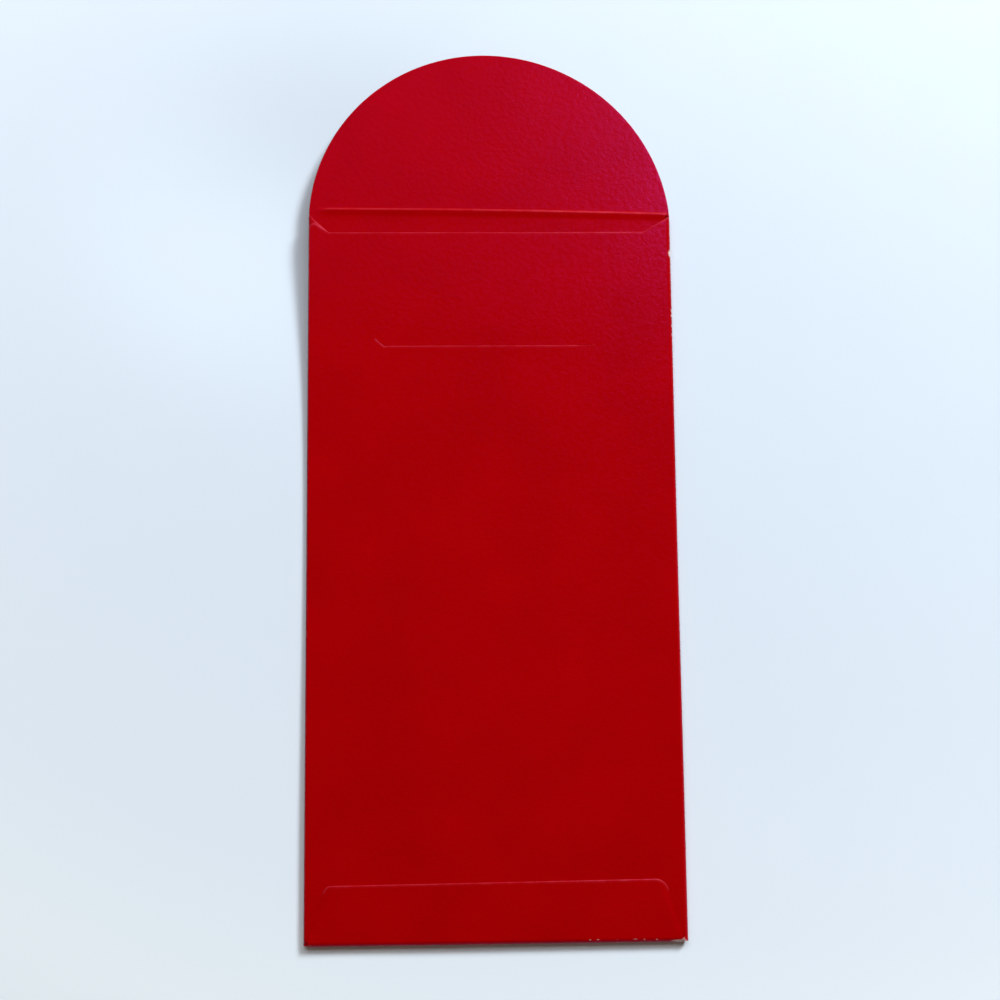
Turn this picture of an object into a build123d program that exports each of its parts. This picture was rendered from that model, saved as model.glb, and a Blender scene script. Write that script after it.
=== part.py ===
from build123d import *
import os

# Long red gift envelope, lying on its front panel with the closing flap open.
# One die-cut sheet makes it: the front panel carries the top flap, the bottom flap,
# the back panel on its right fold and a narrow seam flap on its left fold.
# The sheet is divided at its folds, so each panel, fold and glue line is one solid.
# Millimetres. X runs right across the back panel, Y runs towards the top flap,
# Z rises from the table. The origin is the middle of the pocket, on the table.

# Sheet and glue
paper = 0.25  # thickness of the sheet
glue_film = 0.05  # dried glue between two layers
glue_margin = 1.5  # bare border round each glue line
cut_gap = 0.2  # gap that the cutting die leaves between neighbouring edges

# Pocket
body_width = 85.0  # across the two side folds
body_height = 168.0  # from the bottom fold to the flap crease
pocket_gap = 1.2  # free height inside the empty pocket
corner_ear = 0.65  # strip of front panel between the side folds and the crease

# Mouth of the pocket: a shallow recess with slanted ends
mouth_depth = 4.4  # below the upper ends of the side folds
mouth_left = 4.9  # plan width of its left end
mouth_right = 6.4  # plan width of its right end

# Slit in the back panel that takes the tip of the closed flap
slit_drop = 33.0  # below the flap crease
slit_length = 48.4  # straight part
slit_shift = -0.6  # its middle, to the left of the pocket's middle
slit_run = 2.1  # plan width of each turned-up end
slit_rise = 1.8  # how far each end turns up
slit_width = 0.2  # opening left by the cutting rule

# Side seam, inside the left edge
seam_width = 13.0  # width of the seam flap
seam_peek = 1.1  # how far its slanted end shows beyond the back panel, at the left edge
back_setback = 0.3  # cut edge of the back panel, in from the left edge
back_round = 1.0  # radius of the back panel's upper left corner

# Bottom flap, glued over the back panel
bottom_flap_height = 13.5  # above the bottom edge of the envelope
bottom_flap_taper = 3.9  # each side leans in by this much
bottom_flap_skew = 0.3  # its upper edge falls by this much from its middle to its left end
bottom_flap_round_left = 1.9  # radius of its upper left corner
bottom_flap_round_right = 3.0  # radius of its upper right corner
corner_relief = 0.15  # gap between each end of the bottom fold and the side fold beside it

# Top flap and the scored crease that it swings on
flap_height = 38.5  # from the crease to the tip
flap_lean = 1.2  # its tip, to the left of the pocket's middle
crease_width = 1.2  # scored band
crease_rise = 0.25  # height of the bead that scoring raises

# Levels of the layers
seam_z = paper + pocket_gap
seam_top = seam_z + paper
back_z = seam_top + glue_film
back_top = back_z + paper
bottom_flap_z = back_top + glue_film
bottom_flap_top = bottom_flap_z + paper

# Lines across the plan: each fold is a half round, so it reaches in by half its height
half_width = body_width / 2
crease_y = body_height / 2
bottom_y = -body_height / 2
panel_left = -half_width + seam_top / 2
panel_right = half_width - back_top / 2
panel_bottom = bottom_y + bottom_flap_top / 2
panel_top = crease_y - crease_width / 2
side_fold_bottom = bottom_y + cut_gap
side_fold_top = panel_top - corner_ear - cut_gap
side_fold_length = side_fold_top - side_fold_bottom
mouth_y = side_fold_top - mouth_depth
mouth_left_x = -half_width + mouth_left
mouth_right_x = half_width - mouth_right
bottom_half = min(panel_right, -panel_left) - corner_relief
seam_bottom = panel_bottom + cut_gap


def slanted_end(x):
    """Y of the slanted mouth edge at x, left or right of the mouth."""
    width = mouth_right if x > 0 else mouth_left
    return side_fold_top - (half_width - abs(x)) * mouth_depth / width


def fold_section(nose, inward, height):
    """Half-round band of sheet with its nose at the edge of the envelope."""
    radius = height / 2
    centre = (nose + inward * radius, radius)
    with BuildSketch() as section:
        with BuildLine():
            outer = CenterArc(centre, radius, 90 * inward, 180)
            inner = CenterArc(centre, radius - paper, 90 * inward, 180)
            Line(outer @ 0, inner @ 0)
            Line(outer @ 1, inner @ 1)
        make_face()
    return section.sketch


def corner_wedge(inner_x, edge_x):
    """Plan of what the slanted mouth edge cuts away at one side."""
    with BuildSketch() as wedge:
        with BuildLine():
            Polyline(
                (inner_x, mouth_y),
                (edge_x, side_fold_top),
                (edge_x, crease_y),
                (inner_x, crease_y),
                close=True,
            )
        make_face()
    return wedge.sketch


def seam_outline():
    """Plan of the seam flap, tapered at both ends."""
    outer_x = panel_left
    inner_x = outer_x + seam_width
    taper = seam_width * mouth_depth / mouth_left
    upper_y = slanted_end(outer_x)
    with BuildSketch() as outline:
        with BuildLine():
            Polyline(
                (outer_x, seam_bottom),
                (inner_x, seam_bottom + taper),
                (inner_x, upper_y - taper),
                (outer_x, upper_y),
                close=True,
            )
        make_face()
    return outline.sketch


def bottom_flap_outline():
    """Plan of the bottom flap above its fold."""
    upper_half = bottom_half - bottom_flap_taper
    upper_y = bottom_y + bottom_flap_height
    with BuildSketch() as outline:
        with BuildLine():
            Polyline(
                (-bottom_half, panel_bottom),
                (bottom_half, panel_bottom),
                (upper_half, upper_y + bottom_flap_skew),
                (-upper_half, upper_y - bottom_flap_skew),
                close=True,
            )
        make_face()
        upper_left, upper_right = outline.vertices().sort_by(Axis.Y)[-2:].sort_by(Axis.X)
        fillet(upper_right, bottom_flap_round_right)
        fillet(upper_left, bottom_flap_round_left)
    return outline.sketch


right_section = fold_section(half_width, -1, back_top)
left_section = fold_section(-half_width, 1, seam_top)
bottom_section = fold_section(bottom_y, 1, bottom_flap_top)
seam_plan = seam_outline()
bottom_flap_plan = bottom_flap_outline()

# Front panel: flat on the table, full width only above the ends of the side folds
with BuildPart() as front_panel:
    with BuildSketch():
        with Locations(((panel_left + panel_right) / 2, (panel_bottom + panel_top) / 2)):
            Rectangle(panel_right - panel_left, panel_top - panel_bottom)
        with Locations((0, panel_top - corner_ear / 2)):
            Rectangle(body_width, corner_ear)
    extrude(amount=paper)
front_panel.part.label = "front_panel"

# Right fold: carries the back panel, so its upper half ends on the slanted mouth edge
right_wedge = corner_wedge(mouth_right_x, half_width)
with BuildPart() as right_fold:
    with BuildSketch(Plane.XZ.offset(-side_fold_top)):
        add(right_section)
    extrude(amount=side_fold_length)
    with BuildSketch(Plane.XY.offset(back_top / 2)):
        add(right_wedge)
    extrude(amount=back_top, mode=Mode.SUBTRACT)
right_fold.part.label = "right_fold"

# Back panel: mouth recess along the top, tuck slit across it
with BuildPart() as back_panel:
    with BuildSketch(Plane.XY.offset(back_z)) as back_plan:
        back_left = -half_width + back_setback
        with BuildLine():
            Polyline(
                (back_left, panel_bottom),
                (panel_right, panel_bottom),
                (panel_right, slanted_end(panel_right)),
                (mouth_right_x, mouth_y),
                (mouth_left_x, mouth_y),
                (back_left, slanted_end(back_left) - seam_peek),
                close=True,
            )
        make_face()
        fillet(back_plan.vertices().group_by(Axis.X)[0].sort_by(Axis.Y)[-1], back_round)
        slit_y = crease_y - slit_drop
        slit_left = slit_shift - slit_length / 2
        slit_right = slit_shift + slit_length / 2
        with BuildLine():
            Polyline(
                (slit_left - slit_run, slit_y + slit_rise),
                (slit_left, slit_y),
                (slit_right, slit_y),
                (slit_right + slit_run, slit_y + slit_rise),
            )
        trace(line_width=slit_width, mode=Mode.SUBTRACT)
    extrude(amount=paper)
back_panel.part.label = "back_panel"

# Left fold: carries the seam flap, whose slanted end shows beyond the back panel
left_wedge = corner_wedge(mouth_left_x, -half_width)
with BuildPart() as left_fold:
    with BuildSketch(Plane.XZ.offset(-side_fold_top)):
        add(left_section)
    extrude(amount=side_fold_length)
    with BuildSketch(Plane.XY.offset(seam_top / 2)):
        add(left_wedge)
    extrude(amount=seam_top, mode=Mode.SUBTRACT)
left_fold.part.label = "left_fold"

# Seam flap: turned in under the back panel
with BuildPart() as seam_flap:
    with BuildSketch(Plane.XY.offset(seam_z)):
        add(seam_plan)
    extrude(amount=paper)
seam_flap.part.label = "seam_flap"

# Seam glue: holds the back panel to the seam flap
with BuildPart() as seam_glue:
    with BuildSketch(Plane.XY.offset(seam_top)):
        add(seam_plan)
        offset(amount=-glue_margin, mode=Mode.REPLACE)
    extrude(amount=glue_film)
seam_glue.part.label = "seam_glue"

# Bottom fold: turns the sheet up over the lower end of the back panel
with BuildPart() as bottom_fold:
    with BuildSketch(Plane.YZ.offset(-bottom_half)):
        add(bottom_section)
    extrude(amount=2 * bottom_half)
bottom_fold.part.label = "bottom_fold"

# Bottom flap: rounded trapezium on the outside of the back panel
with BuildPart() as bottom_flap:
    with BuildSketch(Plane.XY.offset(bottom_flap_z)):
        add(bottom_flap_plan)
    extrude(amount=paper)
bottom_flap.part.label = "bottom_flap"

# Bottom glue: holds the bottom flap to the back panel
with BuildPart() as bottom_glue:
    with BuildSketch(Plane.XY.offset(back_top)):
        add(bottom_flap_plan)
        offset(amount=-glue_margin, mode=Mode.REPLACE)
    extrude(amount=glue_film)
bottom_glue.part.label = "bottom_glue"

# Flap crease: scored band, grooved outside and beaded inside, that bends as the flap swings
with BuildPart() as flap_crease:
    with BuildSketch(Plane.YZ.offset(-half_width)) as crease_section:
        flap_base = crease_y + crease_width / 2
        with BuildLine():
            groove = ThreePointArc((panel_top, 0), (crease_y, crease_rise), (flap_base, 0))
            bead = ThreePointArc(
                (panel_top, paper), (crease_y, paper + crease_rise), (flap_base, paper)
            )
            Line(groove @ 0, bead @ 0)
            Line(groove @ 1, bead @ 1)
        make_face()
    extrude(amount=body_width)
flap_crease.part.label = "flap_crease"

# Top flap: two arcs that run level into one another at the tip, flat on the table when open
with BuildPart() as top_flap:
    with BuildSketch():
        with BuildLine():
            tip = (-flap_lean, crease_y + flap_height)
            left_rim = TangentArc(tip, (-half_width, crease_y), tangent=(-1, 0))
            right_rim = TangentArc(tip, (half_width, crease_y), tangent=(1, 0))
            Line(left_rim @ 1, right_rim @ 1)
        make_face()
        with Locations((0, crease_y)):
            Rectangle(2 * body_width, crease_width, mode=Mode.SUBTRACT)
    extrude(amount=paper)
top_flap.part.label = "top_flap"

# Flat size of the sheet, with each fold rolled out
blank_width = (
    seam_width
    + left_section.area / paper
    + (panel_right - panel_left)
    + right_section.area / paper
    + (panel_right - back_left)
)
blank_height = (
    (bottom_y + bottom_flap_height - panel_bottom)
    + bottom_section.area / paper
    + (panel_top - panel_bottom)
    + crease_section.sketch.area / paper
    + (flap_height - crease_width / 2)
)
print(f"flat blank {blank_width:.1f} x {blank_height:.1f} mm")

os.makedirs("parts", exist_ok=True)
for piece in (
    front_panel,
    right_fold,
    back_panel,
    left_fold,
    seam_flap,
    seam_glue,
    bottom_fold,
    bottom_flap,
    bottom_glue,
    flap_crease,
    top_flap,
):
    export_step(piece.part, f"parts/{piece.part.label}.step")
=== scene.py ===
import math

import bpy
import numpy as np
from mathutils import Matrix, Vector
from mathutils.geometry import delaunay_2d_cdt


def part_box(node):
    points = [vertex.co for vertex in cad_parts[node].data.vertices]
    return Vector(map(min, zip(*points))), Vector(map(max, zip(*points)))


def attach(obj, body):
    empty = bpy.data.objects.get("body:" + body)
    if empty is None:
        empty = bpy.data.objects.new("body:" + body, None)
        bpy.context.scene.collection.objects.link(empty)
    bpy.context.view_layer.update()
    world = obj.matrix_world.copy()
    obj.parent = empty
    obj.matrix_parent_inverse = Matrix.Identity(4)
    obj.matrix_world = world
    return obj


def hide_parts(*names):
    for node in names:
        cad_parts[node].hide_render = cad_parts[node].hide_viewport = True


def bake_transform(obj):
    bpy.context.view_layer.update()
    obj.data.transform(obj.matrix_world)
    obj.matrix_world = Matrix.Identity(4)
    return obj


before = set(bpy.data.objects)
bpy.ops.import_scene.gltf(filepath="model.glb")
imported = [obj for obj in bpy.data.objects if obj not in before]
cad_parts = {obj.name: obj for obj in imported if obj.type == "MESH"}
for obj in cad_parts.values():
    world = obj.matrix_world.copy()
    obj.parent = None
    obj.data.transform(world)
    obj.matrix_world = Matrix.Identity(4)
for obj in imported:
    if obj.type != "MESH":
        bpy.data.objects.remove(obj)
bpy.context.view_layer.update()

# The envelope is one die-cut sheet. Each piece is drawn flat, in sheet coordinates u (right) and
# v (up) along the middle of the paper, and then folded into place. Lengths are millimetres until
# a mesh is made.
MM = 0.001


def node_box(node):
    """Lowest and highest corner of a node, in millimetres."""
    low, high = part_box(node)
    return np.array(low) / MM, np.array(high) / MM


# Places taken from the imported parts
front_low, front_high = node_box("front_panel")
back_low = node_box("back_panel")[0]
right_low, right_high = node_box("right_fold")
left_high = node_box("left_fold")[1]
seam_low, seam_high = node_box("seam_flap")
bottom_low = node_box("bottom_flap")[0]
bottom_fold_low, bottom_fold_high = node_box("bottom_fold")
crease_low, crease_high = node_box("flap_crease")
flap_high = node_box("top_flap")[1]

paper = front_high[2] - front_low[2]
half_width = right_high[0]
panel_left = left_high[0]
panel_right = right_low[0]
panel_bottom = bottom_fold_high[1]
panel_top = crease_low[1]
flap_base = crease_high[1]
crease_y = (panel_top + flap_base) / 2
side_fold_bottom = right_low[1]
side_fold_top = right_high[1]
back_left = back_low[0]
seam_bottom = seam_low[1]

# Radius of each fold at the middle of the paper, from the levels of the layers that it joins
right_radius = (back_low[2] - front_low[2]) / 2
left_radius = (seam_low[2] - front_low[2]) / 2
bottom_radius = (bottom_low[2] - front_low[2]) / 2
right_end = panel_right + math.pi * right_radius
left_end = panel_left - math.pi * left_radius
bottom_end = panel_bottom - math.pi * bottom_radius

# Cuts that no box gives
cut_gap = 0.03  # die cut between neighbouring edges that all but touch
mouth_depth = 4.4  # recess of the mouth below the upper ends of the side folds
mouth_left = 4.9  # plan width of its slanted left end
mouth_right = 6.4  # plan width of its slanted right end
right_drop = 0.55  # which starts this far below the right fold's own end
mouth_y = side_fold_top - mouth_depth
mouth_left_x = -half_width + mouth_left
mouth_right_x = half_width - mouth_right
seam_peek = 1.1  # the seam flap's slanted end shows this far beyond the back panel, at the left edge
back_round = 1.0  # radius of the back panel's upper left corner
slit_drop = 33.0  # the slit's straight part lies this far below the crease
slit_y = crease_y - slit_drop
slit_middle = -0.6
slit_half = 24.2  # half of the slit's straight part
slit_run = 2.1  # plan width of its turned-up ends
slit_rise = 1.8  # how far they turn up
slit_gap = 0.02  # the lips of the slit almost close
tip_closed = 0.3  # and meet over this much of its left end
bottom_left = panel_left + cut_gap  # the bottom fold and the base of the bottom flap
bottom_right = panel_right - cut_gap
bottom_edge = bottom_fold_low[1]
bottom_reach = 13.5  # the bottom flap reaches this far up, in its middle
bottom_top = bottom_edge + bottom_reach
bottom_taper = 3.9  # each side of the bottom flap leans in by this much
bottom_skew = 0.3  # its upper edge falls to the left by this much either side of the middle
bottom_round_left = 1.9  # radius of its upper corners
bottom_round_right = 3.0
bottom_round_least = 0.4  # the glue line's corners are no sharper than this
flap_lean = 1.2  # the top flap's tip, to the left of the middle

# Fineness of the meshes
grid_step = 1.6
edge_step = 0.8
turn_step = 0.2  # along cut edges that go round a fold or a small corner
bend_step = 0.05  # along cut edges that cross the crease
flap_step = 0.5  # on the bottom flap
fleck_step = 0.3  # along the right fold, where it is rubbed
worn_step = 0.25  # along the bottom fold, where it is rubbed
fold_rows = 16
crease_rows = 48
slope_rows = 24  # on the front panel, below the crease
turn_points = 7  # of a slanted mouth edge as it goes round a side fold
flap_steps = 90  # of each arc of the top flap's rim
rim_rows = (0.03, 0.08, 0.15, 0.25, 0.7)  # how far the rows of points beside a cut edge lie from it
rim_slack = 0.002  # a point of such a row may be off its distance by this much
mitre_least = 0.2  # keeps the rows from running far out of a very sharp bend
edge_clear = 0.02  # inner points keep this far from an outline
lattice_clear = 1.2  # and the lattice this many times the last row's distance from a cut edge
join_slack = 1e-5  # points nearer to each other than this become one
on_edge = 1e-4  # a point nearer to a cut edge than this lies on it
touch = 1e-6  # slack where two places are compared
round_off = 1e-9  # what rounding may add to a count of steps
inside_only = 1  # the triangulation's way of leaving out what lies outside the outline

# Cut edges, and how pale each is, from 0 to 1: partly pressed and rubbed paper, partly painted highlight
# where an edge faces the light
rim_reach = 0.2  # the cutting die presses the edge round over this width
lip_press = 0.005  # but cuts the upper lip of the slit sharp
tip_sharp = 0.1  # and the slit within this distance of its tips
tip_round = 1.0  # beyond this distance the tips make no difference
edge_band = 0.3  # width of the pale line that a cut edge shows
mouth_pale = 0.46
slant_pale = 0.3
# the slanted left ends face the light, and their greater paleness is painted highlight
end_pale = 1.0
fold_pale = 0.3
seam_pale = 0.55
seam_band = 1.2  # width of the pale band along the seam flap's slanted end
seam_dull = 2.4  # the band is dull over this much of its outer end
slit_pale = 0.42
slit_faint = slit_pale / 3
bottom_pale = 0.5
highlight_gain = 0.9  # painted highlight: edges are paler towards the right, where more light falls, by this share at the reach below
highlight_reach = 40.0


# Sheet coordinates of a point seen in the folded plan


def back_u(x):
    """u of a point at x on the back panel."""
    return right_end + panel_right - x


def seam_u(x):
    """u of a point at x on the seam flap."""
    return left_end - x + panel_left


def bottom_v(y):
    """v of a point at y on the bottom flap."""
    return bottom_end - y + panel_bottom


def slanted_end(x):
    """y of the slanted mouth edge at x, left or right of the mouth."""
    drop, width = (right_drop, mouth_right) if x > 0 else (0, mouth_left)
    return side_fold_top - drop - (half_width - abs(x)) * (mouth_depth - drop) / width


def slit_line(x):
    """y of the slit at x, with its turned-up ends."""
    return slit_y + np.maximum(np.abs(x - slit_middle) - slit_half, 0) * slit_rise / slit_run


def smooth(value, low, high):
    """0 at low, 1 at high, with an even run between."""
    t = np.clip((value - low) / (high - low), 0, 1)
    return t * t * (3 - 2 * t)


# Folding


def fold(points):
    """Middle points and inner normals of the folded sheet at sheet coordinates."""
    u, v = points[:, 0], points[:, 1]
    turn_r = np.clip((u - panel_right) / right_radius, 0, math.pi)
    turn_l = np.clip((panel_left - u) / left_radius, 0, math.pi)
    turn_b = np.clip((panel_bottom - v) / bottom_radius, 0, math.pi)
    x = np.clip(u, panel_left, panel_right)
    x = x + right_radius * np.sin(turn_r) - np.maximum(u - right_end, 0)
    x = x - left_radius * np.sin(turn_l) + np.maximum(left_end - u, 0)
    y = np.maximum(v, panel_bottom) - bottom_radius * np.sin(turn_b)
    y = y + np.maximum(bottom_end - v, 0)
    z = paper / 2 + right_radius * (1 - np.cos(turn_r))
    z = z + left_radius * (1 - np.cos(turn_l)) + bottom_radius * (1 - np.cos(turn_b))
    upright = np.cos(turn_r) * np.cos(turn_l) * np.cos(turn_b)
    normal = np.stack([np.sin(turn_l) - np.sin(turn_r), np.sin(turn_b), upright], axis=1)
    ear = (v > side_fold_top + cut_gap / 2) & (np.abs(u) <= half_width + touch)
    x = np.where(ear, u, x)
    z = np.where(ear, paper / 2, z)
    normal[ear] = (0, 0, 1)
    return np.stack([x, y, z], axis=1), normal


# Relief of the paper

ridge_height = 0.37  # the scored crease stands up by this much
ridge_drop = 0.15  # the ridge runs this far below the middle of the scored band
ridge_skew = 0.016  # and falls this much to the right, fold and die never being quite true
ridge_bow = 0.000176  # and bends down this much towards both ends
ridge_steep = 0.6  # run of its steep side, towards the flap
ridge_step = 1.7  # run of the rounded step below it
ridge_step_share = 0.48  # part of its height that the step takes
ridge_gentle = 7.0  # run of its gentle side, on the front panel
ridge_start = 1.0  # the ridge begins this far from the left edge
ridge_full = 6.0  # and has its full height from here
lower_layer = 0.4  # heights up to which paper counts as the lower layer, and from which as the upper
upper_layer = 1.4
sag_depth = 0.5  # the upper layer sinks towards the table half way up the pocket
sag_reach = 66.0  # and is level again this far up and down from there
wave_height = 0.05  # long soft waves over the sheet
wave_x = 11.0  # millimetres to a radian
wave_y = 17.0
wave_start_x = 1.3
wave_start_y = 0.4
cross_height = 0.03  # and shorter ones across them
cross_x = 7.0
cross_y = 23.0
flat_below = -80.0  # the lower layer has no waves at its bottom end
waves_above = -60.0
lip_lift = 0.06  # each lip of the slit is off the panel's level by this much
lip_reach = 2.6  # over about this much to either side
lip_close = 4.0  # the lips come level over this much of the slit's ends
upper_lip = 1.0  # width of the strip that counts as the upper lip
side_press = 1.6  # the glue presses the leaning sides of the bottom flap flat over this width
side_start = 3.0  # the pressing comes on over this much above the flap's base
side_sink = 0.12  # it pushes the sides down by this much
side_thin = 0.15  # and thins them to this share of the paper
end_slack = 0.1  # the side folds' lower ends stay open by a little


def ridge_line(x):
    """y of the ridge along the crease at x."""
    return crease_y - ridge_drop - ridge_skew * x - ridge_bow * x**2


def ridge_rise(x, y):
    """How far the ridge along the crease lifts the paper."""
    ridge_y = ridge_line(x)
    steep = 1 - smooth(y, ridge_y, ridge_y + ridge_steep)
    step = 1 - smooth(ridge_y - y, 0, ridge_step)
    run = np.clip(1 - (ridge_y - y) / ridge_gentle, 0, 1) ** 2
    gentle = ridge_step_share * step + (1 - ridge_step_share) * run
    begun = smooth(x, -half_width + ridge_start, -half_width + ridge_full)
    return ridge_height * np.where(y > ridge_y, steep, gentle) * begun


def lip_rise(x, y):
    """How far the lips of the slit stand off: the upper one down and the lower one up."""
    off_slit = y - slit_line(x)
    past_left = slit_middle - slit_half - x
    past_right = x - slit_middle - slit_half
    lips = lip_lift * np.exp(-((off_slit / lip_reach) ** 2))
    lips = lips * (1 - smooth(past_left, -lip_close, slit_run))
    lips = lips * (1 - smooth(past_right, -lip_close, 0))
    return np.where(off_slit > -slit_gap / 2, -lips, lips)


def wave_rise(x, y):
    """Soft waves of handled paper."""
    wave = wave_height * np.sin(x / wave_x + wave_start_x) * np.sin(y / wave_y + wave_start_y)
    return wave + cross_height * np.sin(x / cross_x - y / cross_y)


def side_pressing(points):
    """How much the glue presses each point, from 0 to 1 at the leaning sides of the bottom flap."""
    x, y, z = points.T
    lean = bottom_taper / (bottom_top - panel_bottom)
    inward = (y - panel_bottom) * lean
    from_side = np.minimum(x - bottom_left - inward, bottom_right - inward - x)
    on_flap = (z > bottom_low[2]) & (y > panel_bottom)
    pressed = np.where(on_flap, 1 - smooth(from_side, 0, side_press), 0)
    return pressed * smooth(y, panel_bottom, panel_bottom + side_start)


def closed_ends(x, y, z):
    """Heights with the lower ends of the side folds drawn together like the bottom fold beside them."""
    past = np.clip((panel_bottom - y) / (panel_bottom - bottom_edge + end_slack), 0, 1)
    beside = (x < panel_left + touch) | (x > panel_right - touch)
    middle = np.where(x > 0, right_radius, left_radius) + paper / 2
    return np.where(beside, middle + (z - middle) * np.sqrt(1 - past**2), z)


def relief(points):
    """Points of the folded sheet with the soft unevenness of handled paper."""
    x, y, z = points.T
    upper = smooth(z, lower_layer, upper_layer)
    sag = -sag_depth * np.clip(1 - (y / sag_reach) ** 2, 0, 1) ** 2
    waves = wave_rise(x, y)
    waves_low = np.maximum(waves, 0) * smooth(y, flat_below, waves_above)
    lifted = (1 - upper) * (ridge_rise(x, y) + waves_low) + upper * (sag + waves + lip_rise(x, y))
    height = closed_ends(x, y, z) + lifted - side_sink * side_pressing(points)
    return np.stack([x, y, height], axis=1)


# Flat outlines


def line(start, end, step=edge_step):
    """Evenly spaced points from start up to, not including, end."""
    start, end = np.array(start, float), np.array(end, float)
    count = max(1, math.ceil(np.linalg.norm(end - start) / step - round_off))
    return [start + (end - start) * i / count for i in range(count)]


def path(corners, step=edge_step):
    """Evenly spaced points along a run of corners, without the last."""
    points = []
    for start, end in zip(corners, corners[1:]):
        points += line(start, end, step)
    return points


def stations(low, high):
    """Places of the points that a straight edge from low to high gets, without its ends."""
    return np.array([point[0] for point in line((low, 0), (high, 0))[1:]])


def arc(centre, radius, start, end, count):
    """Points of an arc, angles in degrees, with both ends."""
    angles = np.radians(np.linspace(start, end, count + 1))
    return [np.array(centre) + radius * np.array([math.cos(a), math.sin(a)]) for a in angles]


def unit(vector):
    """The vector at length 1."""
    return vector / np.linalg.norm(vector)


def rounded(before, corner, after, radius, count=12):
    """Arc that rounds a corner, from the run before it to the run after it."""
    to_before = unit(before - corner)
    to_after = unit(after - corner)
    half = math.acos(to_before @ to_after) / 2
    centre = corner + unit(to_before + to_after) * radius / math.sin(half)
    start = corner + to_before * radius / math.tan(half) - centre
    end = corner + to_after * radius / math.tan(half) - centre
    across = np.array((-start[1], start[0]))
    turn = math.atan2(across @ end, start @ end)
    return [centre + start * math.cos(a) + across * math.sin(a) for a in np.linspace(0, turn, count + 1)]


def inset(corners, margin):
    """A convex outline, given anticlockwise, drawn in by the margin and closed."""
    corners = [np.array(c, float) for c in corners]
    drawn = []
    for before, here, after in zip(corners[-1:] + corners[:-1], corners, corners[1:] + corners[:1]):
        first = unit(here - before)
        second = unit(after - here)
        inward = np.array((-first[1], first[0])) + np.array((-second[1], second[0]))
        drawn.append(here + inward * margin / (1 + first @ second))
    return drawn + drawn[:1]


class Outline:
    """A closed loop of runs; each run is cut free or joined to the next piece of the sheet."""

    def __init__(self):
        self.points = []
        self.cut = []
        self.pale = []
        self.corner = None

    def run(self, corners, cut=True, pale=0, band=edge_band, step=edge_step):
        """Adds a run from the last corner through the given ones, pale from 0 to 1 over a band: pressed
        paper and painted highlight.
        """
        corners = [np.array(c, float) for c in corners]
        if self.corner is not None:
            corners = [self.corner] + corners
        points = path(corners, step)
        self.points += points
        self.cut += [cut] * len(points)
        self.pale += [(pale, band)] * len(points)
        self.corner = corners[-1]
        return self

    def segments(self, chosen):
        """Start and end of each chosen segment."""
        starts = np.array(self.points)
        ends = np.roll(starts, -1, axis=0)
        return starts[chosen], ends[chosen]


# Triangles that fill an outline


def inside(points, loops):
    """Which points lie within the loops, holes taken out."""
    x, y = points.T
    hits = np.zeros(len(points), bool)
    for loop in loops:
        for (x0, y0), (x1, y1) in zip(loop, np.roll(loop, -1, axis=0)):
            if y0 != y1:
                hits ^= ((y0 > y) != (y1 > y)) & (x < (x1 - x0) * (y - y0) / (y1 - y0) + x0)
    return hits


def distance(points, starts, ends):
    """Distance from each point to the nearest segment."""
    best = np.full(len(points), np.inf)
    for start, end in zip(starts, ends):
        along = end - start
        t = np.clip(((points - start) @ along) / max(along @ along, 1e-12), 0, 1)
        best = np.minimum(best, np.linalg.norm(points - start - t[:, None] * along, axis=1))
    return best


def rim_points(outline):
    """Rows of points beside an outline's cut edges, and how far each lies from them.

    Within a bend of the outline the rows are mitred, and around the outside of it they are rounded.
    """
    points = np.array(outline.points)
    along = np.roll(points, -1, axis=0) - points
    across = np.stack([-along[:, 1], along[:, 0]], axis=1) / np.linalg.norm(along, axis=1)[:, None]
    after = across * np.array(outline.cut)[:, None]
    before = np.roll(after, 1, axis=0)
    both = before + after
    turn = before[:, 0] * after[:, 1] - before[:, 1] * after[:, 0]
    within = both / np.maximum(1 + (before * after).sum(axis=1), mitre_least)[:, None]
    around = both / np.maximum(np.linalg.norm(both, axis=1), touch)[:, None]
    rows = []
    for reach in rim_rows:
        for side in (1, -1):
            rows.append(points + side * reach * np.where(turn[:, None] * side < 0, around, within))
    return np.concatenate(rows), np.repeat(rim_rows, 2 * len(points))


follow_start = 2.0  # the lattice starts to follow the ridge this far from the scored band
follow_full = 1.0  # follows it wholly from here
follow_end = 3.0  # and on the flap lets go of it here


def grid(loops, rows_u=None, rows_v=None):
    """Lattice over an outline, with its own rows where given; near the crease it follows the ridge."""
    every = np.concatenate(loops)
    low, high = every.min(axis=0), every.max(axis=0)
    us = np.arange(low[0] + grid_step / 2, high[0], grid_step) if rows_u is None else np.array(rows_u)
    vs = np.arange(low[1] + grid_step / 2, high[1], grid_step) if rows_v is None else np.array(rows_v)
    u, v = (side.ravel() for side in np.meshgrid(us, vs))
    begun = smooth(v, panel_top - follow_start, panel_top - follow_full)
    ended = smooth(v, flap_base + follow_full, flap_base + follow_end)
    near_crease = begun * (1 - ended)
    return np.stack([u, v + near_crease * (ridge_line(u) - ridge_line(0))], axis=1)


def inner_points(outlines, loops, starts, ends, rows_u, rows_v):
    """Points within the loops: rows beside the cut edges from starts to ends, and the lattice."""
    rim, reach = (np.concatenate(side) for side in zip(*(rim_points(o) for o in outlines)))
    rim = rim[np.abs(distance(rim, starts, ends) - reach) < rim_slack]
    lattice = grid(loops, rows_u, rows_v)
    lattice = lattice[distance(lattice, starts, ends) > max(rim_rows) * lattice_clear]
    inner = np.concatenate([rim, lattice])
    loop_starts = np.concatenate(loops)
    loop_ends = np.concatenate([np.roll(loop, -1, axis=0) for loop in loops])
    return inner[inside(inner, loops) & (distance(inner, loop_starts, loop_ends) > edge_clear)]


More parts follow.
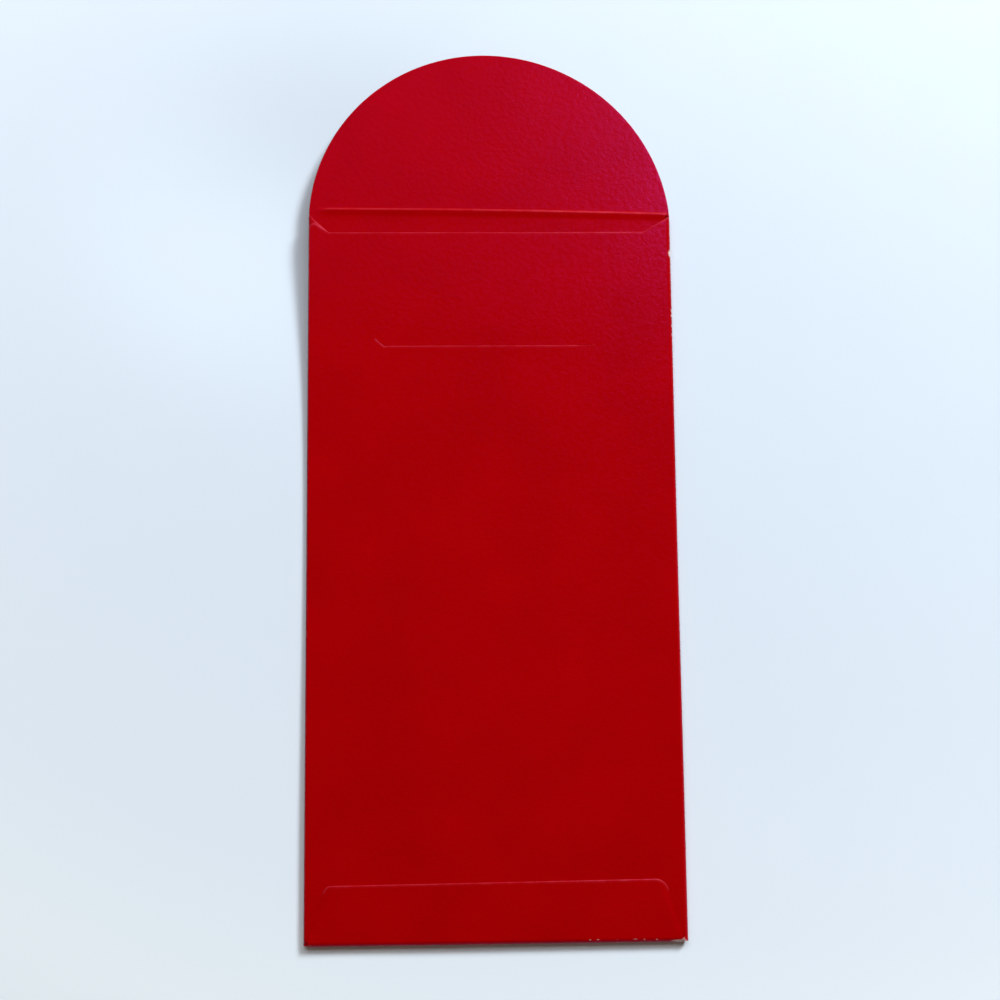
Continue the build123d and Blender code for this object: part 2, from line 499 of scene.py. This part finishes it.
def loop_edges(loops):
    """Pairs of neighbouring points along the loops, numbered through."""
    edges = []
    for loop in loops:
        first = len(edges)
        edges += [(first + i, first + (i + 1) % len(loop)) for i in range(len(loop))]
    return edges


def triangulate(outlines, rows_u=None, rows_v=None):
    """Points and triangles that fill an outline, and each point's distance from a cut edge."""
    loops = [np.array(o.points) for o in outlines]
    starts, ends = (np.concatenate(side) for side in zip(*(o.segments(o.cut) for o in outlines)))
    inner = inner_points(outlines, loops, starts, ends, rows_u, rows_v)
    flat = [Vector(p) for p in np.concatenate(loops + [inner])]
    made = delaunay_2d_cdt(flat, loop_edges(loops), [], inside_only, join_slack)
    points = np.array([tuple(p) for p in made[0]])
    faces = np.array(made[2])
    faces = faces[inside(points[faces].mean(axis=1), loops)]
    a, b, c = points[faces[:, 0]], points[faces[:, 1]], points[faces[:, 2]]
    turn = (b[:, 0] - a[:, 0]) * (c[:, 1] - a[:, 1]) - (b[:, 1] - a[:, 1]) * (c[:, 0] - a[:, 0])
    faces[turn < 0] = faces[turn < 0][:, ::-1]
    return points, faces, distance(points, starts, ends)


# Edges, wear and thickness of the paper


def on_upper_lip(points):
    """Which points lie on the upper lip of the slit."""
    x, y, z = points.T
    off_slit = y - slit_line(x)
    beside_slit = np.abs(x - slit_middle) < slit_half + slit_run
    return (z > paper) & beside_slit & (off_slit > -slit_gap / 2) & (off_slit < upper_lip)


def press_reach(points):
    """Width that the die presses round at the nearest cut edge: none on the slit's upper lip and tips."""
    x, y, z = points.T
    to_tip = np.hypot(np.abs(x - slit_middle) - slit_half - slit_run, y - slit_y - slit_rise)
    past_right = x - slit_middle - slit_half
    at_slit = (np.abs(y - slit_line(x)) < lip_reach) & (z > paper)
    sharp = np.where(at_slit, smooth(past_right, -lip_close, -lip_close / 4), 0)
    reach = lip_press + (rim_reach - lip_press) * smooth(to_tip, tip_sharp, tip_round) * (1 - sharp)
    return np.where(on_upper_lip(points), lip_press, reach)


def swelling(free, middle):
    """Share of the paper's thickness at points so far from a cut edge."""
    reach = press_reach(middle)
    swell = np.sqrt(np.clip(1 - (1 - np.minimum(free / reach, 1)) ** 2, 0, 1))
    swell[free < on_edge] = 0
    return swell * (1 - (1 - side_thin) * side_pressing(middle))


def pale_rim(points, outlines, middle):
    """How pale the edges make each point, from 0 to 1: pressed and rubbed paper, with painted highlight
    that grows towards the right, where more light falls.
    """
    rim = np.zeros(len(points))
    for outline in outlines:
        for strength, band in set(outline.pale):
            chosen = [rub == (strength, band) for rub in outline.pale]
            off = distance(points, *outline.segments(chosen))
            rim = np.maximum(rim, strength * np.clip((band - off) / edge_band, 0, 1))
    # painted highlight: edges grow paler towards the right, where more light falls
    rubbed_and_lit = rim * (1 + highlight_gain * smooth(middle[:, 0], 0, highlight_reach))
    return np.where(on_upper_lip(middle), 0, rubbed_and_lit)


# Flecks where the red has rubbed off the folds, and two pale patches at the lower corners, as x, y, half
# width, half height and strength
wear_and_light_flecks = (
    (half_width, 73.0, 0.5, 0.8, 1.1),
    (half_width, 59.2, 0.3, 0.3, 1.0),
    (half_width, 58.0, 0.3, 0.3, 1.0),
    (half_width, 55.6, 0.3, 0.3, 0.95),
    (half_width, 53.5, 0.3, 0.25, 0.9),
    (half_width, 35.0, 0.15, 0.9, 0.8),
    (42.1, 82.0, 0.2, 0.3, 0.6),
    (20.6, bottom_edge + 0.9, 0.3, 0.2, 0.75),
    (22.4, bottom_edge + 0.9, 0.4, 0.15, 0.75),
    (26.6, bottom_edge + 0.85, 0.3, 0.15, 0.6),
    (30.5, bottom_edge + 0.85, 0.6, 0.15, 0.65),
    (32.6, bottom_edge + 0.8, 0.35, 0.15, 0.7),
    (35.4, bottom_edge + 0.75, 0.3, 0.2, 0.7),
    (41.4, bottom_edge + 0.8, 0.3, 0.25, 0.8),
    # painted light: a pale patch for the lit table seen under the raised lower right corner
    (40.3, bottom_edge + 0.3, 1.6, 0.3, 1.0),
    # a pale patch at the lower left corner
    (-41.2, bottom_edge + 0.4, 1.3, 0.35, 0.5),
)
wear_low = 0.7  # flecks fade out below the upper layer, and the pale crest above the lower one
wear_high = 1.1


def wear_and_light_of(points):
    """How worn each point of the folded sheet is, from 0 to 1, with the painted patch of light at the lower
    right corner.
    """
    x, y, z = points.T
    worn_and_lit = np.zeros(len(points))
    for fleck_x, fleck_y, half_x, half_y, strength in wear_and_light_flecks:
        off = ((x - fleck_x) / half_x) ** 2 + ((y - fleck_y) / half_y) ** 2
        worn_and_lit = np.maximum(worn_and_lit, strength * np.exp(-off / 2))
    return worn_and_lit * smooth(z, wear_low, wear_high)


crest_rise = 0.14  # the pale line, partly bare paper and partly painted highlight, lies this far up the steep side of the ridge
crest_width = 0.15
crest_bare_and_lit = 0.22
crest_highlight_gain = 1.7  # painted highlight: this many times paler still at the right, where more light falls
crest_plain = -15.0  # up to here it is least pale
crest_brightest = 25.0  # and from here its most
crest_start = -40.0  # it comes in between these places at the left
crest_full = -36.0
crest_end = 0.2  # and goes out between these distances from the right edge
crest_fade = 0.8


def crest_of(points):
    """How pale the crest of the scored crease is, from 0 to 1: partly rubbed bare, partly painted highlight
    that grows towards the right.
    """
    x, y, z = points.T
    off = (y - ridge_line(x) - crest_rise) / crest_width
    ends = smooth(x, crest_start, crest_full) * smooth(half_width - x, crest_end, crest_fade)
    # painted highlight: the crest grows paler towards the right, where more light falls
    bare_and_lit = crest_bare_and_lit * (1 + crest_highlight_gain * smooth(x, crest_plain, crest_brightest))
    return bare_and_lit * np.exp(-(off**2) / 2) * ends * (1 - smooth(z, wear_low, wear_high))


# Pieces of folded sheet

upper_side = 0.37  # the two sides of the sheet take their grain from different depths of the noise
lower_side = 40.63


def linked(name, data):
    """A new object in the scene."""
    made = bpy.data.objects.new(name, data)
    bpy.context.scene.collection.objects.link(made)
    return made


def set_floats(mesh, name, values):
    """Stores one number for each point of a mesh."""
    mesh.attributes.new(name, "FLOAT", "POINT").data.foreach_set("value", values.astype(np.float32))


def walls_of(faces, solid, under):
    """Faces that close a piece along its square edges, and those edges."""
    directed = {(f[i], f[(i + 1) % 3]) for f in faces.tolist() for i in range(3)}
    walls = []
    square = set()
    for a, b in directed:
        if (b, a) in directed or not (solid[a] or solid[b]):
            continue
        wall = [b, a, under[a], under[b]]
        walls.append(tuple(dict.fromkeys(int(i) for i in wall)))
        square.update({frozenset((a, b)), frozenset((int(under[a]), int(under[b])))})
    return walls, square


def closed_mesh(name, every, faces, solid, under):
    """Mesh of a piece: its upper side, its lower side and its square edges."""
    walls, square = walls_of(faces, solid, under)
    sides = [tuple(f) for f in faces.tolist()] + [tuple(f) for f in under[faces[:, ::-1]].tolist()]
    mesh = bpy.data.meshes.new(name)
    mesh.from_pydata((every * MM).tolist(), [], sides + walls)
    mesh.polygons.foreach_set("use_smooth", [True] * len(mesh.polygons))
    for edge in mesh.edges:
        edge.use_edge_sharp = frozenset(edge.vertices) in square
    return mesh


def store_looks(mesh, outlines, points, middle, every, solid):
    """Stores what the materials read: place on the flat sheet, paleness of the edges and the crest, which
    is partly painted highlight, and wear with one painted patch of light.
    """
    both = np.concatenate([points, points[solid]])
    side = np.concatenate([np.full(len(points), upper_side), np.full(solid.sum(), lower_side)])
    sheet = mesh.attributes.new("sheet", "FLOAT_VECTOR", "POINT")
    sheet.data.foreach_set("vector", np.column_stack([both, side]).astype(np.float32).ravel())
    rim = pale_rim(points, outlines, middle)
    rim = np.concatenate([rim, rim[solid]])
    set_floats(mesh, "pale", np.maximum(rim, crest_of(every)))
    set_floats(mesh, "worn_and_lit", wear_and_light_of(every))


def sheet_piece(name, outlines, rows_u=None, rows_v=None, depth=paper, place=fold):
    """A closed piece of folded sheet with pressed-round cut edges and square joined edges."""
    points, faces, free = triangulate(outlines, rows_u, rows_v)
    middle, normal = place(points)
    swell = swelling(free, middle)
    solid = swell > 0
    faces = faces[swell[faces].max(axis=1) > 0]
    under = np.arange(len(points))
    under[solid] = len(points) + np.arange(solid.sum())
    offset = normal * (swell * depth / 2)[:, None]
    uneven = relief(middle)
    every = np.concatenate([uneven + offset, (uneven - offset)[solid]])
    mesh = closed_mesh(name, every, faces, solid, under)
    store_looks(mesh, outlines, points, middle, every, solid)
    mesh.validate()
    return linked(name, mesh)


# Outlines of the pieces, in sheet coordinates


def front_outline():
    """Front panel: full width only above the upper ends of the side folds."""
    ear_y = side_fold_top + cut_gap
    o = Outline()
    o.run([(panel_left, panel_bottom), (panel_right, panel_bottom)], cut=False)
    o.run([(panel_right, side_fold_top), (panel_right, ear_y), (half_width, ear_y)], cut=False)
    o.run([(half_width, panel_top)], step=bend_step)
    o.run([(-half_width, panel_top)], cut=False)
    o.run([(-half_width, ear_y)], step=bend_step)
    o.run([(panel_left, ear_y), (panel_left, side_fold_top), (panel_left, panel_bottom)], cut=False)
    return o


def slanted_turn(edge, radius):
    """Points of the slanted mouth edge round a side fold, from its upper layer to half way down.

    The radius is negative for the left fold.
    """
    turns = np.linspace(math.pi, math.pi / 2, turn_points)
    return [(edge + radius * t, slanted_end(edge + radius * math.sin(t))) for t in turns]


def right_fold_outline():
    """Right fold: its upper half ends on the slanted mouth edge."""
    ends = slanted_turn(panel_right, right_radius)
    o = Outline()
    o.run([(panel_right, side_fold_bottom), (right_end, side_fold_bottom)], step=turn_step)
    o.run([ends[0]], cut=False)
    o.run(ends[1:], pale=fold_pale, step=turn_step)
    o.run([(ends[-1][0], side_fold_top)], step=turn_step)
    o.run([(panel_right, side_fold_top), (panel_right, side_fold_bottom)], cut=False)
    return o


def left_fold_outline():
    """Left fold: carries the seam flap, whose slanted end shows."""
    ends = slanted_turn(panel_left, -left_radius)
    o = Outline()
    o.run([(panel_left, side_fold_bottom), (left_end, side_fold_bottom)], step=turn_step)
    o.run([ends[0]], cut=False)
    o.run(ends[1:], pale=fold_pale, step=turn_step)
    o.run([(panel_left, side_fold_top), (panel_left, side_fold_bottom)], cut=False)
    return o


def back_outline():
    """Back panel: mouth recess along the top."""
    foot = np.array((back_u(back_left), panel_bottom))
    mouth_end = np.array((back_u(mouth_left_x), mouth_y))
    corner = np.array((back_u(back_left), slanted_end(back_left) - seam_peek))
    o = Outline()
    o.run([foot, (back_u(panel_right), panel_bottom)])
    o.run([(back_u(panel_right), slanted_end(panel_right))], cut=False)
    o.run([(back_u(mouth_right_x), mouth_y)], pale=slant_pale)
    o.run([mouth_end], pale=mouth_pale)
    # painted highlight: the slanted left end of the mouth faces the light
    o.run(rounded(mouth_end, corner, foot, back_round), pale=end_pale, step=turn_step)
    o.run([foot])
    return o


def slit_outline():
    """Tuck slit with turned-up ends: a sharp upper lip and a pressed-round lower lip that almost close."""
    turns = (slit_half + slit_run, slit_half, -slit_half, -slit_half - slit_run)
    upper = [(back_u(slit_middle + x), slit_line(slit_middle + x)) for x in turns]
    lower = [np.array((u, v - slit_gap)) for u, v in upper[:0:-1]]
    closed = lower[0] + tip_closed * unit(lower[1] - lower[0])
    fading = lower[2] + lip_close * unit(lower[1] - lower[2])
    o = Outline()
    o.run(upper, cut=False)
    o.run([lower[0], closed], cut=False)
    # painted highlight: the left turned-up end of the slit faces the light
    o.run(lower[1:2], pale=end_pale)
    o.run([fading], pale=slit_pale)
    o.run(lower[2:], pale=slit_faint)
    o.run(upper[:1], cut=False)
    return o


def seam_plan():
    """Corners of the seam flap in the folded plan, from its lower left, with tapered ends."""
    inner_x = seam_high[0]
    taper = (inner_x - panel_left) * mouth_depth / mouth_left
    seam_top = seam_high[1]
    return [
        (panel_left, seam_bottom),
        (inner_x, seam_bottom + taper),
        (inner_x, seam_top - taper),
        (panel_left, seam_top),
    ]


def seam_outline():
    """Seam flap: joined to the left fold along its outer side."""
    corners = [(seam_u(x), y) for x, y in seam_plan()]
    low_outer, low_inner, high_inner, high_outer = (np.array(c) for c in corners)
    rubbed_and_lit = high_outer + seam_dull * unit(high_inner - high_outer)
    o = Outline()
    o.run([low_outer, low_inner, high_inner])
    o.run([rubbed_and_lit], pale=seam_pale, band=seam_band)
    o.run([high_outer], pale=fold_pale)
    o.run([low_outer], cut=False)
    return o


def bottom_fold_outline():
    """Bottom fold: runs between the side folds."""
    o = Outline()
    o.run([(bottom_left, panel_bottom), (bottom_left, bottom_end)], step=turn_step)
    o.run([(bottom_right, bottom_end)], cut=False)
    o.run([(bottom_right, panel_bottom)], step=turn_step)
    o.run([(bottom_left, panel_bottom)], cut=False)
    return o


def bottom_plan():
    """Corners of the bottom flap in the folded plan, from its lower left, before rounding."""
    return [
        (bottom_left, panel_bottom),
        (bottom_right, panel_bottom),
        (bottom_right - bottom_taper, bottom_top + bottom_skew),
        (bottom_left + bottom_taper, bottom_top - bottom_skew),
    ]


def rounded_plan(corners, margin=0):
    """The bottom flap's outline from its lower right all the way round, drawn in by the margin."""
    lower_left, lower_right, upper_right, upper_left = inset(corners, margin)[:-1]
    round_left = max(bottom_round_left - margin, bottom_round_least)
    right = rounded(lower_right, upper_right, upper_left, bottom_round_right - margin)
    left = rounded(upper_right, upper_left, lower_left, round_left)
    return [lower_right] + right + left + [lower_left, lower_right]


def bottom_flap_outline():
    """Bottom flap: joined to the bottom fold along its base."""
    loop = [(x, bottom_v(y)) for x, y in rounded_plan(bottom_plan())]
    o = Outline()
    o.run(loop[:2], cut=False)
    o.run(loop[2:-2], pale=bottom_pale)
    o.run(loop[-2:], cut=False)
    return o


def flap_rim(side):
    """Arc of the top flap's rim from the crease at one side, -1 or 1, up to the tip."""
    reach = half_width + side * flap_lean
    height = flap_high[1] - crease_y
    radius = (reach**2 + height**2) / (2 * height)
    centre = (-flap_lean, flap_high[1] - radius)
    rise = math.degrees(math.asin((flap_base - centre[1]) / radius))
    return arc(centre, radius, 90 - side * (90 - rise), 90, flap_steps)


def top_flap_outline():
    """Top flap with its scored crease: two arcs that run level into one another at the tip."""
    right, left = flap_rim(1), flap_rim(-1)
    o = Outline()
    o.run([(-half_width, panel_top), (half_width, panel_top)], cut=False)
    o.run([(half_width, crease_y), right[0]], step=bend_step)
    o.run(right[1:] + left[-2::-1])
    o.run([(-half_width, crease_y), (-half_width, panel_top)], step=bend_step)
    return o


# Glue lines: thin films between two layers, clear of the edges of the flap that they hold

glue_film = 0.05
glue_margin = 1.5


def level(z):
    """Places sheet coordinates as they are, at one height."""

    def place(points):
        flat = np.column_stack([points, np.full(len(points), z)])
        return flat, np.tile((0.0, 0.0, 1.0), (len(points), 1))

    return place


def seam_glue_outline():
    """Seam glue: the seam flap's plan, drawn in by the margin."""
    return Outline().run(inset(seam_plan(), glue_margin))


def bottom_glue_outline():
    """Bottom glue: the bottom flap's plan, drawn in by the margin."""
    return Outline().run(rounded_plan(bottom_plan(), glue_margin))


# Materials: colours and gloss, noise scales in features to the millimetre, bumps with depths in metres

red_paper_dark = (0.36, 0.0002, 0.0002, 1)
red_paper_light = (0.39, 0.0002, 0.0003, 1)
satin_tint = (1.0, 0.10, 0.95, 1)
satin_level = 0.16
# colour of the rubbed flecks, and of the painted patch of light at the lower right corner
bare_core_and_lit = (0.83, 0.74, 0.68, 1)
# colour of the pale edges and crest: partly pressed paper, partly painted highlight
pale_red = (0.62, 0.05, 0.08, 1)
glue_dark = (0.74, 0.69, 0.58, 1)
glue_light = (0.86, 0.83, 0.75, 1)
white = (1, 1, 1, 1)
cloud_scale = 0.05
grain_scale = 1.0
patch_scale = 0.35
ragged_scale = 3.0
glue_scale = 0.4
grain_depth = 0.00009
grain_strength = 0.6
glue_depth = 0.00004
glue_strength = 0.3


def new_material(name):
    """A material with its nodes, its shader and a helper that adds nodes."""
    material = bpy.data.materials.new(name)
    material.use_nodes = True
    nodes, links = material.node_tree.nodes, material.node_tree.links
    shader = nodes["Principled BSDF"]

    def add(kind, inputs=None, **settings):
        node = nodes.new(kind)
        for key, value in settings.items():
            setattr(node, key, value)
        for key, value in (inputs or {}).items():
            if isinstance(value, bpy.types.NodeSocket):
                links.new(value, node.inputs[key])
            else:
                node.inputs[key].default_value = value
        return node

    return material, shader, add, links


def ramp(add, factor, stops):
    """A colour ramp through the given stops."""
    node = add("ShaderNodeValToRGB", {"Fac": factor})
    elements = node.color_ramp.elements
    while len(elements) < len(stops):
        elements.new(0.5)
    for element, (position, colour) in zip(elements, stops):
        element.position = position
        element.color = colour
    return node.outputs["Color"]


def grey(value):
    """A grey of that value."""
    return (value, value, value, 1)


def attribute(add, name, output="Fac"):
    """A value that the mesh stores for each point."""
    return add("ShaderNodeAttribute", attribute_name=name).outputs[output]


def noise(add, vector, scale, detail=2.0, roughness=0.5):
    """Noise of so many features to the unit of the vector."""
    inputs = {"Vector": vector, "Scale": scale, "Detail": detail, "Roughness": roughness}
    return add("ShaderNodeTexNoise", inputs).outputs["Fac"]


def product(add, a, b):
    """a times b."""
    return add("ShaderNodeMath", {0: a, 1: b}, operation="MULTIPLY").outputs[0]


def mix(add, factor, a, b):
    """Colour a with b over it."""
    node = add("ShaderNodeMix", {"Factor": factor}, data_type="RGBA")
    for key, value in (("A", a), ("B", b)):
        socket = next(s for s in node.inputs if s.name == key and s.type == "RGBA")
        if isinstance(value, bpy.types.NodeSocket):
            node.id_data.links.new(value, socket)
        else:
            socket.default_value = value
    return next(s for s in node.outputs if s.type == "RGBA")


def red_paper():
    """Dyed satin paper: soft clouding, fine grain, pale edges that are partly pressed paper and partly
    painted highlight, rubbed folds, and one painted patch of light.
    """
    material, shader, add, links = new_material("red_paper")
    sheet = attribute(add, "sheet", "Vector")
    edge = attribute(add, "pale")
    worn_and_lit = attribute(add, "worn_and_lit")
    cloud = noise(add, sheet, cloud_scale, 3.0)
    grain = noise(add, sheet, grain_scale, 3.0, 0.6)
    red = ramp(add, cloud, ((0.35, red_paper_dark), (0.65, red_paper_light)))
    patchy = noise(add, sheet, patch_scale)
    # pale edges and crest: partly pressed paper, partly painted highlight
    pale = product(add, edge, ramp(add, patchy, ((0.35, grey(0.3)), (0.65, grey(0.9)))))
    red = mix(add, pale, red, pale_red)
    ragged = ramp(add, noise(add, sheet, ragged_scale, 3.0, 0.7), ((0.3, grey(0.5)), (0.7, grey(1))))
    # rubbed flecks, and the painted patch of light at the lower right corner
    rubbed_and_lit = ramp(add, product(add, worn_and_lit, ragged), ((0.3, grey(0)), (0.8, grey(1))))
    links.new(mix(add, rubbed_and_lit, red, bare_core_and_lit), shader.inputs["Base Color"])
    gloss = ramp(add, grain, ((0.40, grey(0.21)), (0.60, grey(0.27))))
    links.new(gloss, shader.inputs["Roughness"])
    shader.inputs["Specular IOR Level"].default_value = satin_level
    shader.inputs["Specular Tint"].default_value = satin_tint
    bump = add("ShaderNodeBump", {"Height": grain, "Strength": grain_strength, "Distance": grain_depth})
    links.new(bump.outputs["Normal"], shader.inputs["Normal"])
    return material


def dried_glue():
    """Dried paste: milky, slightly uneven."""
    material, shader, add, links = new_material("dried_glue")
    sheet = attribute(add, "sheet", "Vector")
    patches = noise(add, sheet, glue_scale, 4.0)
    milky = ramp(add, patches, ((0.35, glue_dark), (0.65, glue_light)))
    links.new(milky, shader.inputs["Base Color"])
    links.new(ramp(add, patches, ((0.3, grey(0.25)), (0.7, grey(0.5)))), shader.inputs["Roughness"])
    bump = add("ShaderNodeBump", {"Height": patches, "Strength": glue_strength, "Distance": glue_depth})
    links.new(bump.outputs["Normal"], shader.inputs["Normal"])
    return material


# Places of rows, so that the lattice of a piece meets the points along its edges

fleck_rows = (73, 59, 55, 35)  # the right fold has finer rows near these places, where it is rubbed
fleck_reach = 1.5
worn_from = 19.5  # and the bottom fold right of here
crease_below = 1.0  # fine rows begin this far below the middle of the crease
crease_above = 1.1  # and end this far above it
slope_end = 1.1  # the rows of the slope end this far below it
flap_start = 1.0  # and those of the flap begin this far above the scored band

across_right = np.linspace(panel_right, right_end, fold_rows + 1)
across_left = np.linspace(left_end, panel_left, fold_rows + 1)
across_bottom = np.linspace(bottom_end, panel_bottom, fold_rows + 1)
along_left = stations(side_fold_bottom, side_fold_top)
along_crease = stations(-half_width, half_width)
across_flap = np.arange(bottom_left, bottom_right, flap_step)
up_bottom_flap = np.arange(bottom_v(bottom_top + bottom_skew), bottom_end, flap_step)
up_crease = np.linspace(crease_y - crease_below, crease_y + crease_above, crease_rows + 1)
up_flap = np.concatenate([up_crease, np.arange(flap_base + flap_start, flap_high[1], grid_step)])


def along_right_fold():
    """Rows along the right fold."""
    fine = [np.arange(y - fleck_reach, y + fleck_reach, fleck_step) for y in fleck_rows]
    return np.union1d(np.unique(np.concatenate(fine)), along_left)


def along_bottom_fold():
    """Rows along the bottom fold."""
    plain = stations(bottom_left, bottom_right)
    return np.concatenate([plain[plain < worn_from], np.arange(worn_from, bottom_right, worn_step)])


def up_front_panel():
    """Rows up the front panel, finer on the slope below the crease."""
    slope_start = panel_top - ridge_gentle
    plain = np.arange(panel_bottom + grid_step / 2, slope_start, grid_step)
    return np.concatenate([plain, np.linspace(slope_start, crease_y - slope_end, slope_rows), up_crease])


# Pieces

red = red_paper()
glue = dried_glue()


def dress(piece, material, nodes, body="pocket"):
    """Gives a piece its material, hides the nodes that it stands for and, when given a body, attaches it to
    what it moves with.
    """
    piece.data.materials.append(material)
    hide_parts(*nodes)
    if body:
        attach(piece, body)


# Each node of the pocket with its outlines and the rows of its lattice
pocket_sheets = (
    ("front_panel", [front_outline()], along_crease, up_front_panel()),
    ("right_fold", [right_fold_outline()], across_right, along_right_fold()),
    ("back_panel", [back_outline(), slit_outline()], None, None),
    ("left_fold", [left_fold_outline()], across_left, along_left),
    ("seam_flap", [seam_outline()], None, None),
    ("bottom_fold", [bottom_fold_outline()], along_bottom_fold(), across_bottom),
    ("bottom_flap", [bottom_flap_outline()], across_flap, up_bottom_flap),
)
for node, outlines, rows_u, rows_v in pocket_sheets:
    dress(sheet_piece(node + "_sheet", outlines, rows_u, rows_v), red, [node])

# The top flap and its crease are one piece, reaching from the pocket to the flap
top_flap = sheet_piece("top_flap_sheet", [top_flap_outline()], along_crease, up_flap)
dress(top_flap, red, ["top_flap", "flap_crease"], body=None)
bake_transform(top_flap)

for node, outline in (("seam_glue", seam_glue_outline()), ("bottom_glue", bottom_glue_outline())):
    glue_low, glue_high = node_box(node)
    between = level((glue_low[2] + glue_high[2]) / 2)
    film = sheet_piece(node + "_film", [outline], depth=glue_film, place=between)
    dress(film, glue, [node])

# Floor

hollow_depth = 4.2  # the table falls away this far under the upper left corner
hollow_x = -46.0
hollow_y = 88.0
hollow_wide = 40.0
hollow_long = 32.0
floor_rows = np.concatenate([[-2000, -500], np.arange(-210, 211, 6), [500, 2000]])
table_shades = (
    (0.0, (0.68, 0.74, 0.815, 1)),
    (0.333, (0.71, 0.77, 0.842, 1)),
    (0.533, (0.759, 0.818, 0.885, 1)),
    (0.733, (0.83, 0.887, 0.948, 1)),
    (0.88, (0.923, 0.979, 1.0, 1)),
)
shade_shift = (-0.16, -0.35, 0)  # the darkest shade lies beside the upper end, at the right
shade_scale = (3.33, 4.67, 0)
table_roughness = 0.7
table_gloss = 0.2
mottle_scale = 60.0  # features to the metre
mottle_strength = 0.06
seen_middle = (0.003, 0.02, 0)  # middle of what the camera sees of the table, in metres
seen_reach = 0.172  # further out than this the table fades
faded_reach = 0.26  # and here it has gone into the pale horizon


def table_top():
    """Pale table, a little lighter away from the lamps, with a hardly visible mottle."""
    material, shader, add, links = new_material("table_top")
    place = add("ShaderNodeTexCoord").outputs["Object"]
    mottle = noise(add, place, mottle_scale, 4.0)
    run = add("ShaderNodeMapping", {"Vector": place, "Location": shade_shift, "Scale": shade_scale})
    fade = add("ShaderNodeVectorMath", {0: run.outputs["Vector"]}, operation="LENGTH").outputs["Value"]
    pale = mix(add, product(add, mottle, mottle_strength), ramp(add, fade, table_shades), white)
    links.new(pale, shader.inputs["Base Color"])
    shader.inputs["Roughness"].default_value = table_roughness
    shader.inputs["Specular IOR Level"].default_value = table_gloss
    away = add("ShaderNodeVectorMath", {0: place, 1: seen_middle}, operation="DISTANCE").outputs["Value"]
    links.new(ramp(add, away, ((seen_reach, grey(1)), (faded_reach, grey(0)))), shader.inputs["Alpha"])
    return material


def floor_mesh():
    """The table as a grid with its shallow hollow."""
    x, y = np.meshgrid(floor_rows, floor_rows)
    z = -hollow_depth * np.exp(-(((x - hollow_x) / hollow_wide) ** 2) - ((y - hollow_y) / hollow_long) ** 2)
    count = len(floor_rows)
    corner = np.arange(count * count).reshape(count, count)
    quads = np.stack([corner[:-1, :-1], corner[:-1, 1:], corner[1:, 1:], corner[1:, :-1]], axis=-1)
    mesh = bpy.data.meshes.new("floor")
    points = np.stack([x, y, z], axis=-1).reshape(-1, 3) * MM
    mesh.from_pydata(points.tolist(), [], quads.reshape(-1, 4).tolist())
    mesh.polygons.foreach_set("use_smooth", [True] * len(mesh.polygons))
    mesh.materials.append(table_top())
    return mesh


floor = linked("floor", floor_mesh())

# Light: a soft key from the upper right, a wide window above the flap, a gleam on the paper, a weak sky

lamp_tint = (0.86, 0.94, 1.0)
gleam_tint = (1, 1, 1)
pale_horizon = (0.80, 0.86, 0.92, 1)
dark_ceiling = (0.02, 0.02, 0.02, 1)
warm_fill = (0.125, 0.096, 0.075, 1)

# Name, bearing from +X and height in degrees, distance, width and height in metres, power in watts,
# and whether the lamp is for the gloss of the paper alone
lamps = (
    ("key", 53, 36, 1.1, 0.28, 0.28, 12.7, False),
    ("window", 98, 52, 1.3, 1.3, 0.7, 9.3, False),
    ("gleam", 57, 55.5, 1.2, 0.2, 0.2, 4.4, True),
)


def area_light(name, azimuth, elevation, reach, width, height, power, gloss_only):
    """A rectangular lamp that faces the origin."""
    data = bpy.data.lights.new(name, "AREA")
    data.shape = "RECTANGLE"
    data.size = width
    data.size_y = height
    data.energy = power
    data.color = gleam_tint if gloss_only else lamp_tint
    turn, rise = math.radians(azimuth), math.radians(elevation)
    towards = Vector((math.cos(turn) * math.cos(rise), math.sin(turn) * math.cos(rise), math.sin(rise)))
    lamp = linked(name, data)
    lamp.location = towards * reach
    lamp.rotation_euler = towards.to_track_quat("Z", "Y").to_euler()
    lamp.visible_camera = False
    lamp.visible_glossy = gloss_only
    lamp.visible_diffuse = not gloss_only


for lamp_values in lamps:
    area_light(*lamp_values)

world = bpy.data.worlds.new("studio")
bpy.context.scene.world = world
world.use_nodes = True


def sky_node(kind, inputs=None, **settings):
    """Adds a node to the world."""
    node = world.node_tree.nodes.new(kind)
    for key, value in settings.items():
        setattr(node, key, value)
    for key, value in (inputs or {}).items():
        world.node_tree.links.new(value, node.inputs[key])
    return node


def sky_colour():
    """Weak warm light for matt surfaces; to the eye and in gloss, a pale horizon under a dark ceiling."""
    direction = sky_node("ShaderNodeTexCoord").outputs["Generated"]
    height = sky_node("ShaderNodeSeparateXYZ", {"Vector": direction}).outputs["Z"]
    seen = ramp(sky_node, height, ((0.25, pale_horizon), (0.75, dark_ceiling)))
    rays = sky_node("ShaderNodeLightPath").outputs
    looking = rays["Is Camera Ray"]
    for kind in ("Is Glossy Ray", "Is Transmission Ray"):
        looking = sky_node("ShaderNodeMath", {0: looking, 1: rays[kind]}, operation="MAXIMUM").outputs[0]
    return mix(sky_node, looking, warm_fill, seen)


sky = world.node_tree.nodes["Background"]
world.node_tree.links.new(sky_colour(), sky.inputs["Color"])
sky.inputs["Strength"].default_value = 1.0

# Camera

camera_place = (-7.1, -25.6, 319.9)
camera_turn = (7.25, -1.52, -0.59)  # in degrees
camera_data = bpy.data.cameras.new("camera")
camera_data.sensor_width = 36.0
camera_data.lens = 50.4
camera_data.clip_start = 0.01
camera = linked("camera", camera_data)
camera.location = Vector(camera_place) * MM
camera.rotation_euler = [math.radians(angle) for angle in camera_turn]
bpy.context.scene.camera = camera
bpy.context.scene.view_settings.view_transform = "Standard"
